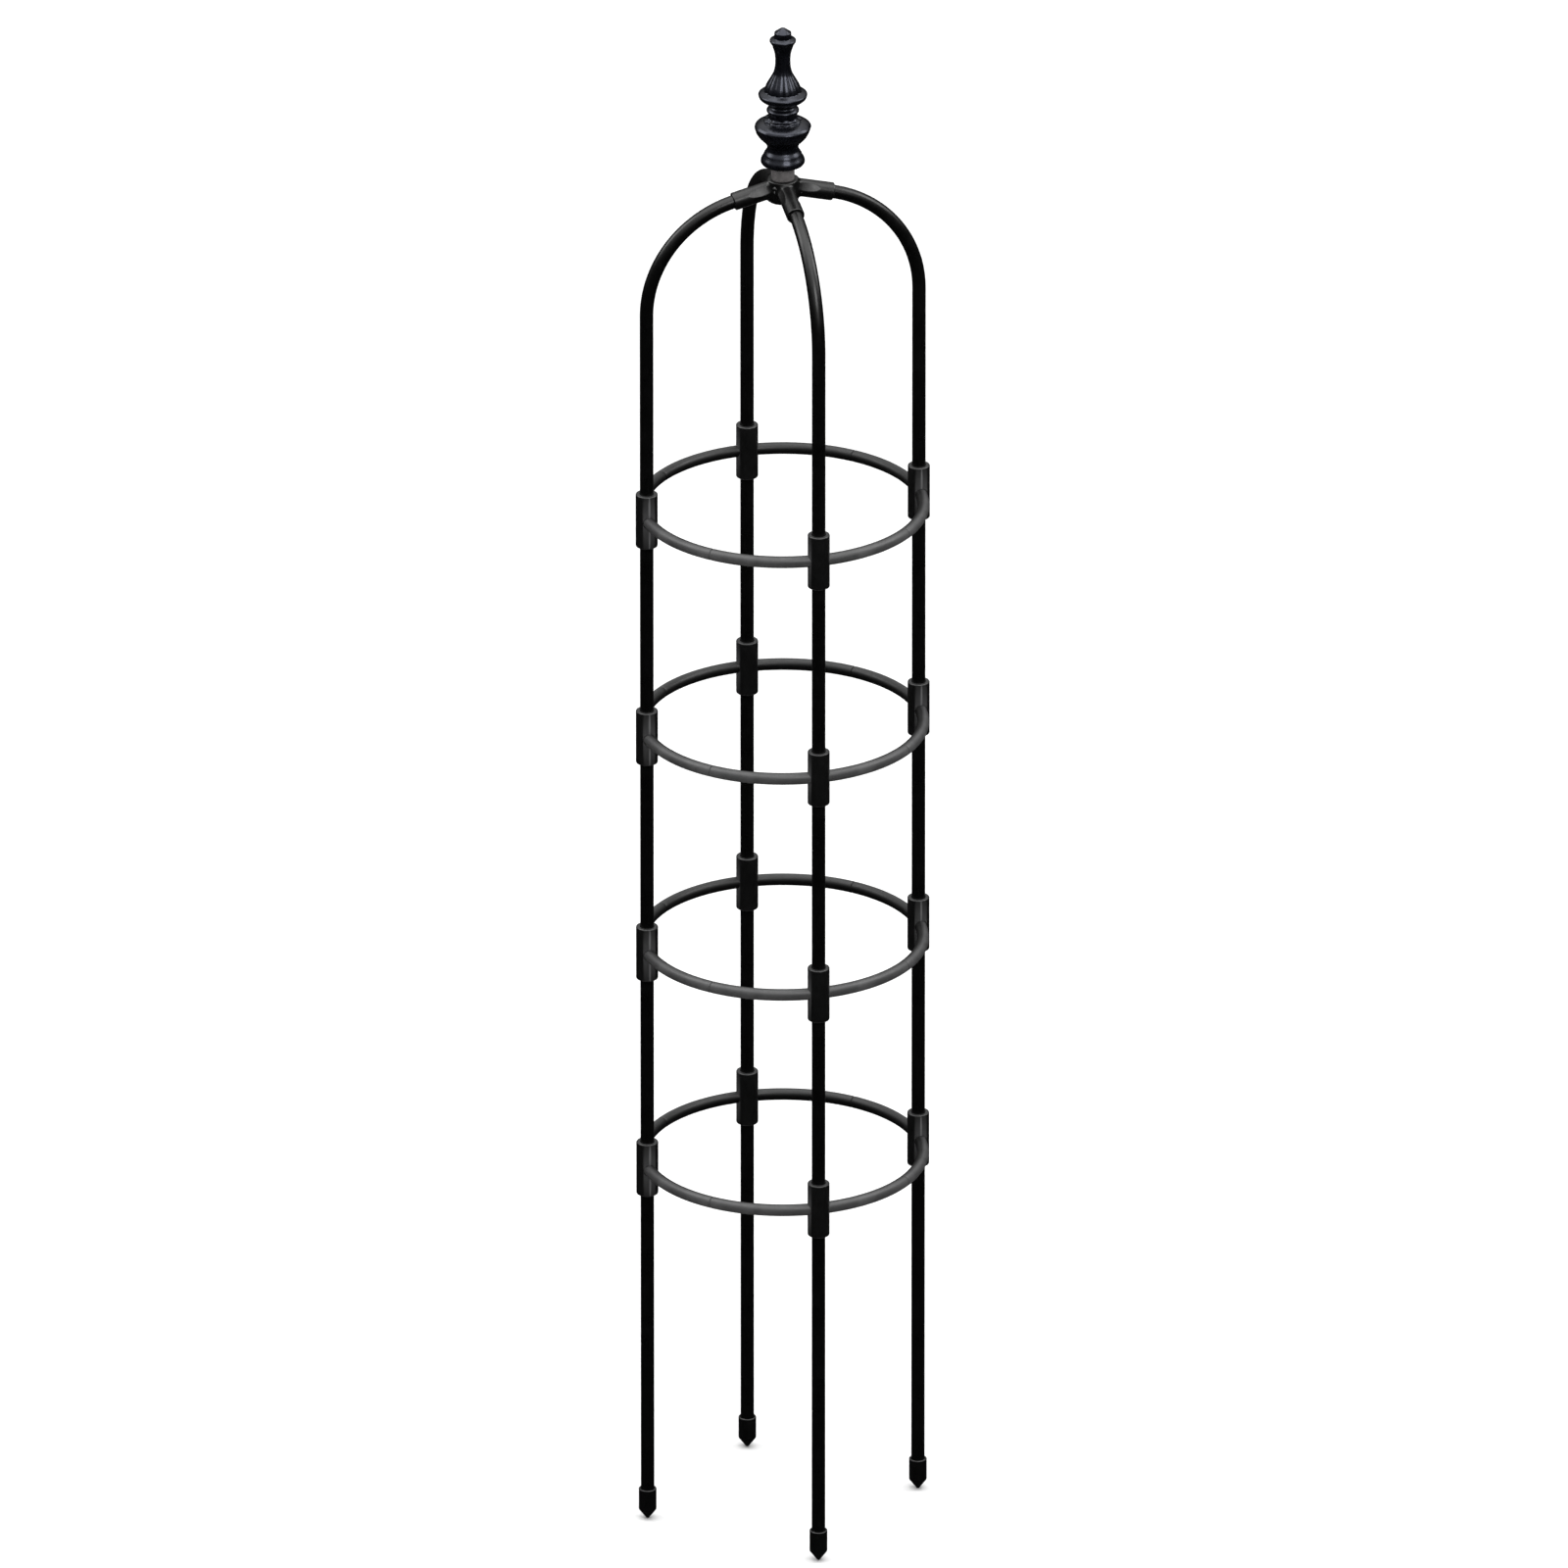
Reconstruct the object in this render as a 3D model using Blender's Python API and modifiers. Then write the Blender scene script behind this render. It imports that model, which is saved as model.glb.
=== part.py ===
"""Knock-down garden obelisk: a round plant tower of coated steel tube.

Four legs stand on a circle. Each leg is a row of straight tubes and one arch tube, held end to end
by moulded connectors. Every ring is four quarter arcs: an arc runs through the cross hole of its own
connector, and its swaged end plugs into the open end of the next arc, half way between two legs.
The four arch tubes meet in a top hub, which carries a post, and the finial pushes onto that post.

Frame: metres, +Z up, origin on the ground plane of the spike tips, on the tower's axis. The legs
stand on the X and Y axes.
"""

import math

import bmesh
import bpy
from mathutils import Euler, Matrix, Vector

# Where the legs stand, as degrees round the axis from +X.
LEGS = {"right": 0, "back": 90, "left": 180, "front": 270}

# The tower
LEG_CIRCLE_RADIUS = 0.165
LOWEST_RING_HEIGHT = 0.455
RING_SPACING = 0.278
RING_COUNT = 4
DOME_SPRING = 0.2605  # straight run of an arch tube above the top ring

# Tubes
LEG_TUBE_RADIUS = 0.008
RING_TUBE_RADIUS = 0.007
TUBE_WALL = 0.0009
FIT_GAP = 0.0003  # radial play of everything that plugs together
END_GAP = 0.0012  # between the end of a tube and the stop that it meets

# The joint between two ring arcs
SPIGOT_LENGTH = 0.014
SHOULDER_LENGTH = 0.0008
SEAM_GAP = 0.0004

# Ring connectors
CONNECTOR_RADIUS = 0.013
CONNECTOR_LENGTH = 0.067
CONNECTOR_EDGE = 0.0012

# Ground spikes
SPIKE_WALL = 0.0022
SPIKE_HEIGHT = 0.039
SPIKE_CONE = 0.012
SPIKE_TIP_RADIUS = 0.0015
SPIKE_SOCKET = 0.020
SPIKE_EDGE = 0.0009

# The top hub and its four arms
ARM_REACH = 0.060  # from the axis to an arm's mouth
ARM_ROOT = 0.010  # from the axis to where an arm starts, inside the boss
ARM_SLOPE = math.radians(14)
ARM_WALL = 0.0024
ARM_EDGE = 0.001
ARM_SOCKET = 0.034
BOSS_WALL = 0.0043
BOSS_LIP = 0.0015  # how far the boss stands above the arms' backs
BOSS_SKIRT = 0.0029  # how far it hangs below their undersides
BOSS_EDGE = 0.002
POST_SEAT = 0.008  # depth of the post's seat below the point where the arms' axes meet

# The post and the screw that holds it
POST_RADIUS = 0.0138
POST_WALL = 0.0018
POST_FLOOR = 0.009
POST_REVEAL = 0.0171  # bare post between hub and finial
POST_EDGE = 0.001
SCREW_RADIUS = 0.003
SCREW_HEAD_RADIUS = 0.0056
SCREW_HEAD_TOP_RADIUS = 0.0040
SCREW_HEAD_HEIGHT = 0.0034
SCREW_GRIP = 0.0065  # how far the screw runs into the post's floor
SCREW_KEY_RADIUS = 0.0023
SCREW_KEY_DEPTH = 0.0018

# The finial
FINIAL_SOCKET = 0.038
FINIAL_WALL = 0.0043
BASE_RIM = 0.0074  # how far the base rim stands out from the collar
BOWL_RIM = 0.0148  # how far the bowl's rim stands out from the collar
PLATE_RADIUS = 0.0287
BEAD_RADIUS = 0.0190
THROAT_RADIUS = 0.0142
BELL_RADIUS = 0.0218
NECK_RADIUS = 0.0090
CUP_RADIUS = 0.0153
KNOB_RADIUS = 0.0100
TIP_RADIUS = 0.001

# How finely round shapes are made
TUBE_SIDES = 12
TURNED_SIDES = 16
KEY_SIDES = 6
RING_BEVEL = 2  # a curve's bevel_resolution: 8 sides
ARCH_BEVEL = 4  # 12 sides
ARC_STEPS = 8
BEND_STEPS = 7
MERGE_DISTANCE = 0.00001
SMOOTH_ANGLE = math.radians(40)
CUTTER_EXTRA = 0.01  # how far a cutter runs past the wall that it cuts

# Sizes that follow from the ones above
TOP_RING_HEIGHT = LOWEST_RING_HEIGHT + RING_SPACING * (RING_COUNT - 1)
RING_STEP = math.pi / 2 / ARC_STEPS
LEG_BORE = LEG_TUBE_RADIUS + FIT_GAP
RING_BORE = RING_TUBE_RADIUS + FIT_GAP
LEG_TUBE_STOP = RING_BORE + END_GAP  # from a ring's height to the tubes above and below it
BEND_ANGLE = math.pi / 2 - ARM_SLOPE
BEND_RADIUS = (LEG_CIRCLE_RADIUS - ARM_REACH) / (1 - math.cos(BEND_ANGLE))
SPRING_HEIGHT = TOP_RING_HEIGHT + DOME_SPRING
MOUTH_HEIGHT = SPRING_HEIGHT + BEND_RADIUS * math.sin(BEND_ANGLE)
HUB_HEIGHT = MOUTH_HEIGHT + ARM_REACH * math.tan(ARM_SLOPE)
LOWER_TUBE_START = SPIKE_HEIGHT - SPIKE_SOCKET + END_GAP
ARM_RADIUS = LEG_BORE + ARM_WALL
SOCKET_END = ARM_REACH - ARM_SOCKET * math.cos(ARM_SLOPE)
POST_BORE = POST_RADIUS + FIT_GAP
BOSS_RADIUS = POST_BORE + BOSS_WALL
ARM_HALF_HEIGHT = ARM_RADIUS / math.cos(ARM_SLOPE)
BOSS_TOP = ARM_HALF_HEIGHT - POST_BORE * math.tan(ARM_SLOPE) + BOSS_LIP
BOSS_BOTTOM = ARM_HALF_HEIGHT + BOSS_RADIUS * math.tan(ARM_SLOPE) + BOSS_SKIRT
SCREW_LENGTH = BOSS_BOTTOM + FIT_GAP - POST_SEAT + SCREW_GRIP
SCREW_BORE = SCREW_RADIUS + FIT_GAP
FINIAL_HEIGHT = HUB_HEIGHT + BOSS_TOP + POST_REVEAL
COLLAR_RADIUS = POST_BORE + FINIAL_WALL


def clear_scene():
    for obj in list(bpy.data.objects):
        bpy.data.objects.remove(obj)


def new_collection(name):
    collection = bpy.data.collections.new(name)
    bpy.context.scene.collection.children.link(collection)
    return collection


def new_material(name, colour, roughness, metallic):
    material = bpy.data.materials.new(name)
    material.use_nodes = True
    shader = material.node_tree.nodes["Principled BSDF"]
    shader.inputs["Base Color"].default_value = (*colour, 1)
    shader.inputs["Roughness"].default_value = roughness
    shader.inputs["Metallic"].default_value = metallic
    material.diffuse_color = (*colour, 1)
    return material


clear_scene()
OBELISK = new_collection("garden_obelisk")
WORKSHOP = new_collection("workshop")  # blanks and cutters, each removed once it is used
WORKSHOP.hide_render = True
COATED_TUBE = new_material("coated_tube", (0.012, 0.012, 0.013), 0.35, 0.0)
MOULDED_PLASTIC = new_material("moulded_plastic", (0.022, 0.022, 0.023), 0.45, 0.0)
CAST_FINIAL = new_material("cast_finial", (0.020, 0.021, 0.026), 0.42, 0.0)
GREY_METAL = new_material("grey_metal", (0.30, 0.28, 0.28), 0.45, 0.8)
ZINC_SCREW = new_material("zinc_screw", (0.55, 0.55, 0.53), 0.35, 1.0)


# Blanks: working objects that become the pieces


def turned(outline, sides, closed=False):
    """An outline of (radius, height) points turned round Z. It runs down its outer side."""
    mesh = bpy.data.meshes.new("turned")
    edges = [(i, i + 1) for i in range(len(outline) - 1)]
    if closed:
        edges.append((len(outline) - 1, 0))
    mesh.from_pydata([(radius, 0, height) for radius, height in outline], edges, [])
    blank = bpy.data.objects.new("turned", mesh)
    WORKSHOP.objects.link(blank)
    screw = blank.modifiers.new("Turn", "SCREW")
    screw.steps = sides
    screw.render_steps = sides
    screw.use_merge_vertices = True
    screw.merge_threshold = MERGE_DISTANCE
    return blank


def bent_rod(path, radius, bevel):
    """A capped rod along the path."""
    blank = open_tube(path, radius, bevel)
    blank.data.use_fill_caps = True
    return blank


def open_tube(path, radius, bevel, swage=()):
    """The outer skin of a tube along the path, open at both ends.

    swage gives the last points' share of the full radius.
    """
    curve = bpy.data.curves.new("tube", "CURVE")
    curve.dimensions = "3D"
    curve.twist_mode = "MINIMUM"
    curve.bevel_depth = radius
    curve.bevel_resolution = bevel
    spline = curve.splines.new("POLY")
    spline.points.add(len(path) - 1)
    shares = [1] * (len(path) - len(swage)) + list(swage)
    for point, place, share in zip(spline.points, path, shares):
        point.co = (*place, 1)
        point.radius = share
    blank = bpy.data.objects.new("tube", curve)
    WORKSHOP.objects.link(blank)
    return blank


def hollow(blank, wall):
    """Gives an open tube its wall, inwards."""
    solidify = blank.modifiers.new("Wall", "SOLIDIFY")
    solidify.thickness = wall
    solidify.offset = -1
    solidify.use_even_offset = True
    return blank


def cylinder(radius, placing, length, sides):
    """A solid cylinder that stands on the placed XY plane."""
    work = bmesh.new()
    lift = Matrix.Translation((0, 0, length / 2))
    bmesh.ops.create_cone(
        work,
        cap_ends=True,
        segments=sides,
        radius1=radius,
        radius2=radius,
        depth=length,
        matrix=placing @ lift,
    )
    mesh = bpy.data.meshes.new("cylinder")
    work.to_mesh(mesh)
    work.free()
    blank = bpy.data.objects.new("cylinder", mesh)
    WORKSHOP.objects.link(blank)
    return blank


def finished_mesh(blank):
    """The blank's mesh in the workshop's frame with its modifiers carried out. The blank goes."""
    bpy.context.view_layer.update()
    graph = bpy.context.evaluated_depsgraph_get()
    mesh = bpy.data.meshes.new_from_object(blank.evaluated_get(graph))
    work = bmesh.new()
    work.from_mesh(mesh)
    bmesh.ops.remove_doubles(work, verts=work.verts, dist=MERGE_DISTANCE)
    bmesh.ops.transform(work, matrix=blank.matrix_world, verts=work.verts)
    work.to_mesh(mesh)
    work.free()
    mesh.shade_smooth()
    mesh.set_sharp_from_angle(angle=SMOOTH_ANGLE)
    bpy.data.objects.remove(blank)
    return mesh


def as_mesh_object(blank):
    """The same blank as a plain mesh object, which a Boolean can use."""
    plain = bpy.data.objects.new("plain", finished_mesh(blank))
    WORKSHOP.objects.link(plain)
    return plain


def combined(base, operation, tools):
    """The base joined with the tools, or cut by them. The tools go."""
    base = as_mesh_object(base)
    tools = [as_mesh_object(tool) for tool in tools]
    for tool in tools:
        tool.display_type = "WIRE"
        tool.hide_render = True
        boolean = base.modifiers.new(operation, "BOOLEAN")
        boolean.operation = operation
        boolean.solver = "EXACT"
        boolean.object = tool
    result = as_mesh_object(base)
    for tool in tools:
        bpy.data.objects.remove(tool)
    return result


# Placing the pieces


def leg_frame(leg):
    """An empty on the tower's axis, turned so that its +X points to the leg."""
    empty = bpy.data.objects.new(f"leg_frame_{leg}", None)
    empty.rotation_euler = Euler((0, 0, math.radians(LEGS[leg])))
    OBELISK.objects.link(empty)
    return empty


def place(name, mesh, material, location=(0, 0, 0), parent=None):
    """One piece of the object."""
    piece = bpy.data.objects.new(name, mesh)
    if not mesh.materials:
        mesh.materials.append(material)
    piece.location = location
    piece.parent = parent
    OBELISK.objects.link(piece)
    return piece


# The pieces' shapes, each in its own frame


def pipe_outline(radius, bore, bottom, top, edge=0):
    """The closed outline of a straight pipe. An edge cuts its outer corners back."""
    skin = [(radius, top), (radius, bottom)]
    if edge:
        upper = [(radius - edge, top), (radius, top - edge)]
        skin = [*upper, (radius, bottom + edge), (radius - edge, bottom)]
    return [*skin, (bore, bottom), (bore, top)]


def leg_tube_mesh(length):
    """A straight leg tube standing on its lower end."""
    inner = LEG_TUBE_RADIUS - TUBE_WALL
    return finished_mesh(
        turned(pipe_outline(LEG_TUBE_RADIUS, inner, 0, length), TUBE_SIDES, closed=True)
    )


def ring_point(angle):
    """A point of the ring's centre line, in the frame of the leg at angle 0."""
    return LEG_CIRCLE_RADIUS * Vector((math.cos(angle), math.sin(angle), 0))


def ring_arc_mesh():
    """A quarter of a ring, centred on its leg, with a swaged end that enters the next quarter.

    The path's points stand half a step off the seams, so both sides of a seam are on one chord.
    """
    half = math.pi / 4
    points = [ring_point(RING_STEP * (i + 0.5) - half) for i in range(ARC_STEPS)]
    before = (points[0] + ring_point(-half - RING_STEP / 2)) / 2
    seam = (points[-1] + ring_point(half + RING_STEP / 2)) / 2
    onward = (seam - points[-1]).normalized()
    mouth = before + SEAM_GAP / 2 * (points[0] - before).normalized()
    foot = seam - SEAM_GAP / 2 * onward
    shoulder = foot - SHOULDER_LENGTH * onward
    tip = seam + SPIGOT_LENGTH * onward
    swage = (RING_TUBE_RADIUS - TUBE_WALL - FIT_GAP) / RING_TUBE_RADIUS
    path = [mouth, *points, shoulder, foot, tip]
    tube = open_tube(path, RING_TUBE_RADIUS, RING_BEVEL, (swage, swage))
    return finished_mesh(hollow(tube, TUBE_WALL))


def connector_mesh():
    """A sleeve that takes a leg tube at each end and lets its ring arc through the middle."""
    half = CONNECTOR_LENGTH / 2
    outline = pipe_outline(CONNECTOR_RADIUS, LEG_BORE, -half, half, CONNECTOR_EDGE)
    sleeve = turned(outline, TUBE_SIDES, closed=True)
    cutter = bent_rod([ring_point(-RING_STEP / 2), ring_point(RING_STEP / 2)], RING_BORE, RING_BEVEL)
    cutter.location.x = -LEG_CIRCLE_RADIUS
    return finished_mesh(combined(sleeve, "DIFFERENCE", [cutter]))


def ground_spike_mesh():
    """A pointed cap, standing on its blunt tip, that the lowest leg tube stands in."""
    radius = LEG_BORE + SPIKE_WALL
    floor = SPIKE_HEIGHT - SPIKE_SOCKET
    outline = [
        (0, floor),
        (LEG_BORE, floor),
        (LEG_BORE, SPIKE_HEIGHT),
        (radius - SPIKE_EDGE, SPIKE_HEIGHT),
        (radius, SPIKE_HEIGHT - SPIKE_EDGE),
        (radius, SPIKE_CONE),
        (SPIKE_TIP_RADIUS, 0),
        (0, 0),
    ]
    return finished_mesh(turned(outline, TUBE_SIDES))


def arm_point(radius):
    """A point of a hub arm's axis at this distance from the tower's axis."""
    return Vector((radius, 0, HUB_HEIGHT - radius * math.tan(ARM_SLOPE)))


def arch_tube_mesh():
    """A leg's last tube: straight up from the top ring, then bent over into the hub's arm."""
    start = TOP_RING_HEIGHT + LEG_TUBE_STOP
    centre = Vector((LEG_CIRCLE_RADIUS - BEND_RADIUS, 0, SPRING_HEIGHT))
    turns = [BEND_ANGLE * i / BEND_STEPS for i in range(BEND_STEPS + 1)]
    bend = [
        centre + BEND_RADIUS * Vector((math.cos(turn), 0, math.sin(turn))) for turn in turns
    ]
    end = arm_point(SOCKET_END + END_GAP)
    path = [Vector((LEG_CIRCLE_RADIUS, 0, start)), *bend, end]
    return finished_mesh(hollow(open_tube(path, LEG_TUBE_RADIUS, ARCH_BEVEL), TUBE_WALL))


def arm_placing(leg, radius):
    """Carries +Z to this leg's arm axis, running outwards from this distance from the tower's."""
    turn = Matrix.Rotation(math.radians(LEGS[leg]), 4, "Z")
    tilt = Matrix.Rotation(math.pi / 2 + ARM_SLOPE, 4, "Y")
    return turn @ Matrix.Translation(arm_point(radius)) @ tilt


def hub_arm(leg):
    """A round arm on its slope, with its mouth's edge cut back."""
    length = (ARM_REACH - ARM_ROOT) / math.cos(ARM_SLOPE)
    outline = [
        (0, length),
        (ARM_RADIUS - ARM_EDGE, length),
        (ARM_RADIUS, length - ARM_EDGE),
        (ARM_RADIUS, 0),
        (0, 0),
    ]
    arm = turned(outline, TUBE_SIDES)
    arm.matrix_world = arm_placing(leg, ARM_ROOT)
    return arm


def hub_boss(radius, top, bottom):
    """The hub's round middle, between these heights."""
    outline = [
        (0, top),
        (radius - BOSS_EDGE, top),
        (radius, top - BOSS_EDGE),
        (radius, bottom + BOSS_EDGE),
        (radius - BOSS_EDGE, bottom),
        (0, bottom),
    ]
    return turned(outline, TURNED_SIDES)


def top_hub_mesh():
    """A boss with four sloping sockets for the arch tubes and a seat for the post."""
    top = HUB_HEIGHT + BOSS_TOP
    bottom = HUB_HEIGHT - BOSS_BOTTOM
    seat = HUB_HEIGHT - POST_SEAT
    arms = [hub_arm(leg) for leg in LEGS]
    sockets = [
        cylinder(LEG_BORE, arm_placing(leg, SOCKET_END), ARM_SOCKET + CUTTER_EXTRA, TUBE_SIDES)
        for leg in LEGS
    ]
    post_seat = cylinder(
        POST_BORE, Matrix.Translation((0, 0, seat)), top - seat + CUTTER_EXTRA, TURNED_SIDES
    )
    start = bottom - CUTTER_EXTRA
    screw_hole = cylinder(
        SCREW_BORE, Matrix.Translation((0, 0, start)), HUB_HEIGHT - start, TUBE_SIDES
    )
    body = combined(hub_boss(BOSS_RADIUS, top, bottom), "UNION", arms)
    return finished_mesh(combined(body, "DIFFERENCE", [*sockets, post_seat, screw_hole]))


def post_mesh():
    """The stub that carries the finial: a cup with a screw hole in its floor."""
    bottom = HUB_HEIGHT - POST_SEAT + FIT_GAP
    top = FINIAL_HEIGHT + FINIAL_SOCKET - FIT_GAP
    outline = [
        (POST_RADIUS - POST_EDGE, top),
        (POST_RADIUS, top - POST_EDGE),
        (POST_RADIUS, bottom),
        (SCREW_BORE, bottom),
        (SCREW_BORE, bottom + POST_FLOOR),
        (POST_RADIUS - POST_WALL, bottom + POST_FLOOR),
        (POST_RADIUS - POST_WALL, top),
    ]
    return finished_mesh(turned(outline, TURNED_SIDES, closed=True))


def screw_mesh():
    """A pan-head screw that comes up through the hub's floor into the post's."""
    seat = HUB_HEIGHT - BOSS_BOTTOM - FIT_GAP
    under = seat - SCREW_HEAD_HEIGHT
    outline = [
        (0, seat + SCREW_LENGTH),
        (SCREW_RADIUS, seat + SCREW_LENGTH),
        (SCREW_RADIUS, seat),
        (SCREW_HEAD_RADIUS, seat),
        (SCREW_HEAD_RADIUS, seat - SCREW_HEAD_HEIGHT / 2),
        (SCREW_HEAD_TOP_RADIUS, under),
        (0, under),
    ]
    start = Matrix.Translation((0, 0, under - CUTTER_EXTRA))
    key = cylinder(SCREW_KEY_RADIUS, start, CUTTER_EXTRA + SCREW_KEY_DEPTH, KEY_SIDES)
    return finished_mesh(combined(turned(outline, TUBE_SIDES), "DIFFERENCE", [key]))


def finial_outline():
    """The finial's half section above its base: down the outer side, then up the socket."""
    base = COLLAR_RADIUS + BASE_RIM
    bowl = COLLAR_RADIUS + BOWL_RIM
    return [
        # the pointed knob
        (0, 0.1750),
        (TIP_RADIUS, 0.1748),
        (KNOB_RADIUS - 0.0018, 0.1692),
        (KNOB_RADIUS, 0.1655),
        (KNOB_RADIUS, 0.1610),
        # the cup below it
        (CUP_RADIUS, 0.1588),
        (CUP_RADIUS, 0.1565),
        (CUP_RADIUS - 0.0037, 0.1490),
        (NECK_RADIUS + 0.0005, 0.1400),
        (NECK_RADIUS, 0.1320),
        # the bell
        (NECK_RADIUS + 0.0008, 0.1225),
        (NECK_RADIUS + 0.0045, 0.1124),
        (BELL_RADIUS - 0.0032, 0.1040),
        (BELL_RADIUS, 0.0950),
        # the plate
        (PLATE_RADIUS - 0.0012, 0.0915),
        (PLATE_RADIUS, 0.0885),
        (PLATE_RADIUS - 0.0015, 0.0846),
        (PLATE_RADIUS - 0.0079, 0.0812),
        # the throat and its bead
        (THROAT_RADIUS, 0.0785),
        (THROAT_RADIUS, 0.0740),
        (BEAD_RADIUS, 0.0707),
        (BEAD_RADIUS, 0.0675),
        (THROAT_RADIUS + 0.0019, 0.0625),
        # the crown and the bowl
        (bowl - 0.0122, 0.0580),
        (bowl - 0.0086, 0.0530),
        (bowl, 0.0495),
        (bowl, 0.0465),
        (bowl - 0.0058, 0.0365),
        (COLLAR_RADIUS + 0.0004, 0.0278),
        # the collar and the base
        (COLLAR_RADIUS, 0.0215),
        (COLLAR_RADIUS + 0.0028, 0.0150),
        (base, 0.0075),
        (base, 0.0035),
        (base - 0.0045, 0),
        # the socket
        (POST_BORE, 0),
        (POST_BORE, FINIAL_SOCKET),
        (0, FINIAL_SOCKET),
    ]


def build_leg(leg, meshes):
    """Everything that belongs to one leg: its spike, tubes, connectors and ring arcs."""
    frame = leg_frame(leg)

    def at(height):
        return (LEG_CIRCLE_RADIUS, 0, height)

    place(f"ground_spike_{leg}", meshes["spike"], MOULDED_PLASTIC, at(0), frame)
    place(f"lower_leg_tube_{leg}", meshes["lower"], COATED_TUBE, at(LOWER_TUBE_START), frame)
    for ring in range(1, RING_COUNT + 1):
        height = LOWEST_RING_HEIGHT + RING_SPACING * (ring - 1)
        place(f"ring{ring}_connector_{leg}", meshes["connector"], MOULDED_PLASTIC, at(height), frame)
        place(f"ring{ring}_arc_{leg}", meshes["arc"], COATED_TUBE, (0, 0, height), frame)
        if ring < RING_COUNT:
            start = height + LEG_TUBE_STOP
            place(f"leg_tube{ring}_{leg}", meshes["middle"], COATED_TUBE, at(start), frame)
    place(f"arch_tube_{leg}", meshes["arch"], COATED_TUBE, (0, 0, 0), frame)


def build():
    meshes = {
        "spike": ground_spike_mesh(),
        "lower": leg_tube_mesh(LOWEST_RING_HEIGHT - LEG_TUBE_STOP - LOWER_TUBE_START),
        "middle": leg_tube_mesh(RING_SPACING - 2 * LEG_TUBE_STOP),
        "connector": connector_mesh(),
        "arc": ring_arc_mesh(),
        "arch": arch_tube_mesh(),
    }
    for leg in LEGS:
        build_leg(leg, meshes)
    place("top_hub", top_hub_mesh(), MOULDED_PLASTIC)
    place("finial_post", post_mesh(), GREY_METAL)
    place("hub_screw", screw_mesh(), ZINC_SCREW)
    finial = finished_mesh(turned(finial_outline(), TURNED_SIDES))
    place("finial", finial, CAST_FINIAL, (0, 0, FINIAL_HEIGHT))


build()
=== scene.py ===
"""Looks for the knock-down garden obelisk: fine surfaces, materials, studio and camera.

Every CAD node is replaced by a finer piece of the same size that rides on the same body. Places and
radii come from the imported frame; what the frame can't tell is named below. Metres, +Z up.
"""

import math

import bmesh
import bpy
import numpy as np
from mathutils import Matrix, Vector


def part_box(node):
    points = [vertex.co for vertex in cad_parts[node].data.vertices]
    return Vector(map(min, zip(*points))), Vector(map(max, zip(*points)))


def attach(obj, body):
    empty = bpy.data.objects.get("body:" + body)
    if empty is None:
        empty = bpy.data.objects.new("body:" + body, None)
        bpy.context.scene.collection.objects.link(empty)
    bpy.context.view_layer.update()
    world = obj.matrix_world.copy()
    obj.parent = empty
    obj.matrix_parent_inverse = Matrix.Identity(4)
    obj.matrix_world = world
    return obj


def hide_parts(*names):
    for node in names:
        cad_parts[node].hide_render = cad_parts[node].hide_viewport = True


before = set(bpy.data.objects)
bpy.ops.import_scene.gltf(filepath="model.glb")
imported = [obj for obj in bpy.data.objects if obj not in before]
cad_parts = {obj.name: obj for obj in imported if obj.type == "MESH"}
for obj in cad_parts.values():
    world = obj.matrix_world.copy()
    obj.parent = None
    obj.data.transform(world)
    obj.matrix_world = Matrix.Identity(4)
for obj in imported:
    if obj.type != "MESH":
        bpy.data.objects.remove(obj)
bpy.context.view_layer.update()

LEGS = {"right": 0, "back": 90, "left": 180, "front": 270}
RINGS = (1, 2, 3, 4)

# The view, which the photograph fixes
VIEW_AZIMUTH = math.radians(-14.75)
VIEW_ELEVATION = math.radians(24.2)
VIEW_HEIGHT = 0.9303  # where the middle of the frame meets the tower's axis
VIEW_SIDE = 0.0014  # how far the axis stands left of the frame's middle
FRAME_WIDTH = 1.8424
CAMERA_DISTANCE = 75
SENSOR = 36

FLOOR_RADIUS = 300

# The sun overhead: its strength, and how wide it is
SUN_POWER = 2.4
SUN_WIDTH = math.radians(70)

# The light dome: how bright it is below and above, and the sines of the heights between which it rises
DOME_DARK = 0.02
DOME_LIGHT = 1.3
DOME_FROM = 0.15
DOME_FULL = 0.8

# Fits and walls that the frame's boxes don't show, as the CAD has them
TUBE_WALL = 0.0009
FIT_GAP = 0.0003
END_GAP = 0.0012
SEAM_GAP = 0.0004
SPIGOT_LENGTH = 0.014
SEAM_ROUND = 0.0012
ARM_SLOPE = math.radians(14)
ARM_REACH = 0.060
ARM_SOCKET = 0.034
ARM_WALL = 0.0024
BOSS_WALL = 0.0043
BOSS_LIP = 0.0015
BOSS_SKIRT = 0.0029
POST_SEAT = 0.008
POST_WALL = 0.0018
POST_FLOOR = 0.009
FINIAL_SOCKET = 0.038
SPIKE_SOCKET = 0.020
SPIKE_CONE = 0.012
SPIKE_TIP_RADIUS = 0.0015
ARM_ROOT = 0.010
SCREW_RADIUS = 0.003
SCREW_HEAD_TOP_RADIUS = 0.0040
SCREW_HEAD_HEIGHT = 0.0034
SCREW_KEY_RADIUS = 0.0023
SCREW_KEY_DEPTH = 0.0018
KEY_SIDES = 6

# Small details that only the fine pieces have
TUBE_EDGE = 0.0004
LEAD_IN = 0.0006
SLEEVE_ROUND = 0.0014
SPIGOT_BEVEL = 0.0008
SPIKE_LEAD = 0.0005
SOCKET_LEAD = 0.0004
SCREW_BEVEL = 0.0006
SCREW_HEAD_CROWN = 0.0014

# The hub: how round its edges are, how softly its arms run into the boss, how finely it is remeshed
BOSS_ROUND = 0.0018
ARM_ROUND = 0.0012
HUB_BLEND = 0.0042
HUB_VOXEL = 0.00045

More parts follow.
